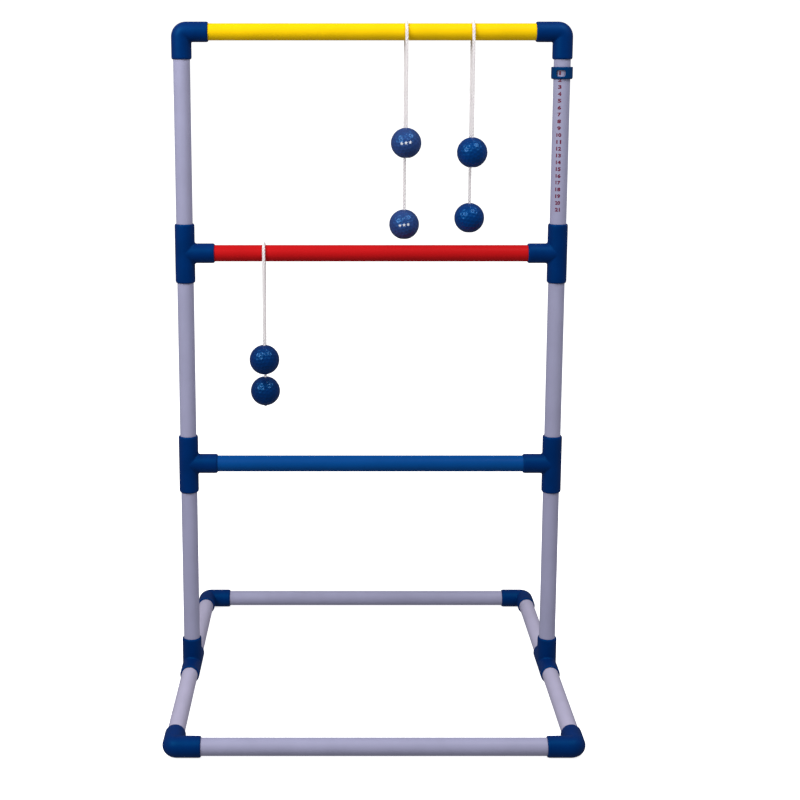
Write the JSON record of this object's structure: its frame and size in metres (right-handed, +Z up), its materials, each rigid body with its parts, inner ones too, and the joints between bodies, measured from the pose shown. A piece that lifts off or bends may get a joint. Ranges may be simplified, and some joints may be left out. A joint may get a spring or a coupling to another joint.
{
  "type": "ladder toss target",
  "caption": "Ladder toss lawn game target: a tube ladder with coloured rungs on a square base, a sliding score ring on a numbered post, and rope bolas hung over the rungs.",
  "frame": {"origin": "on the floor, under the middle of the square base and of the ladder", "axes": "+X along the rungs towards the numbered post, +Y to the rear, +Z up the posts"},
  "size_m": [0.596, 0.595, 1.0231],
  "materials": {
    "white_tube": "satin extruded PVC, white with a lavender cast",
    "yellow_tube": "satin-gloss extruded plastic",
    "red_tube": "satin-gloss extruded plastic",
    "blue_tube": "satin-gloss extruded plastic",
    "blue_fitting": "satin moulded plastic, royal blue",
    "blue_ball": "glossy, dimpled like a golf ball",
    "rope": "white twisted cord",
    "scale_print": "dark red printed numbers",
    "ball_print": null
  },
  "bodies": {
    "frame": {"top_rung": "yellow_tube", "middle_rung": "red_tube", "bottom_rung": "blue_tube", "left_upper_post": "white_tube", "left_middle_post": "white_tube", "left_lower_post": "white_tube", "right_upper_post": "white_tube", "right_middle_post": "white_tube", "right_lower_post": "white_tube", "top_left_elbow": "blue_fitting", "top_right_elbow": "blue_fitting", "middle_left_tee": "blue_fitting", "middle_right_tee": "blue_fitting", "bottom_left_tee": "blue_fitting", "bottom_right_tee": "blue_fitting", "base_left_tee": "blue_fitting", "base_right_tee": "blue_fitting", "front_left_elbow": "blue_fitting", "front_right_elbow": "blue_fitting", "rear_left_elbow": "blue_fitting", "rear_right_elbow": "blue_fitting", "base_front_tube": "white_tube", "base_rear_tube": "white_tube", "base_left_front_tube": "white_tube", "base_left_rear_tube": "white_tube", "base_right_front_tube": "white_tube", "base_right_rear_tube": "white_tube"},
    "score_ring": {"score_ring": "blue_fitting"},
    "first_bola": {"first_bola_rope": "rope", "first_bola_front_knot": "rope", "first_bola_rear_knot": "rope"},
    "first_bola_front_ball": {"first_bola_front_ball": "blue_ball"},
    "first_bola_rear_ball": {"first_bola_rear_ball": "blue_ball"},
    "second_bola": {"second_bola_rope": "rope", "second_bola_front_knot": "rope", "second_bola_rear_knot": "rope"},
    "second_bola_front_ball": {"second_bola_front_ball": "blue_ball"},
    "second_bola_rear_ball": {"second_bola_rear_ball": "blue_ball"},
    "third_bola": {"third_bola_rope": "rope", "third_bola_front_knot": "rope", "third_bola_rear_knot": "rope"},
    "third_bola_front_ball": {"third_bola_front_ball": "blue_ball"},
    "third_bola_rear_ball": {"third_bola_rear_ball": "blue_ball"}
  },
  "joints": [
    {"name": "score_ring_slide", "type": "slide", "parent": "frame", "child": "score_ring", "axis": [0, 0, 1], "range_m": [-0.2155, 0.0105]},
    {"name": "first_bola_swing", "type": "hinge", "parent": "frame", "child": "first_bola", "pos_m": [0, 0, 1.005], "axis": [1, 0, 0], "range_deg": [-85, 85]},
    {"name": "first_front_ball_slide", "type": "slide", "parent": "first_bola", "child": "first_bola_front_ball", "axis": [0, 0, 1], "range_m": [0, 0.115]},
    {"name": "first_rear_ball_slide", "type": "slide", "parent": "first_bola", "child": "first_bola_rear_ball", "axis": [0, 0, 1], "range_m": [0, 0.088]},
    {"name": "second_bola_swing", "type": "hinge", "parent": "frame", "child": "second_bola", "pos_m": [0, 0, 1.005], "axis": [1, 0, 0], "range_deg": [-85, 85]},
    {"name": "second_front_ball_slide", "type": "slide", "parent": "second_bola", "child": "second_bola_front_ball", "axis": [0, 0, 1], "range_m": [0, 0.13]},
    {"name": "second_rear_ball_slide", "type": "slide", "parent": "second_bola", "child": "second_bola_rear_ball", "axis": [0, 0, 1], "range_m": [0, 0.062]},
    {"name": "third_bola_swing", "type": "hinge", "parent": "frame", "child": "third_bola", "pos_m": [0, 0, 0.675], "axis": [1, 0, 0], "range_deg": [-85, 85]},
    {"name": "third_front_ball_slide", "type": "slide", "parent": "third_bola", "child": "third_bola_front_ball", "axis": [0, 0, 1], "range_m": [0, 0.115]},
    {"name": "third_rear_ball_slide", "type": "slide", "parent": "third_bola", "child": "third_bola_rear_ball", "axis": [0, 0, 1], "range_m": [0, 0.018]}
  ]
}
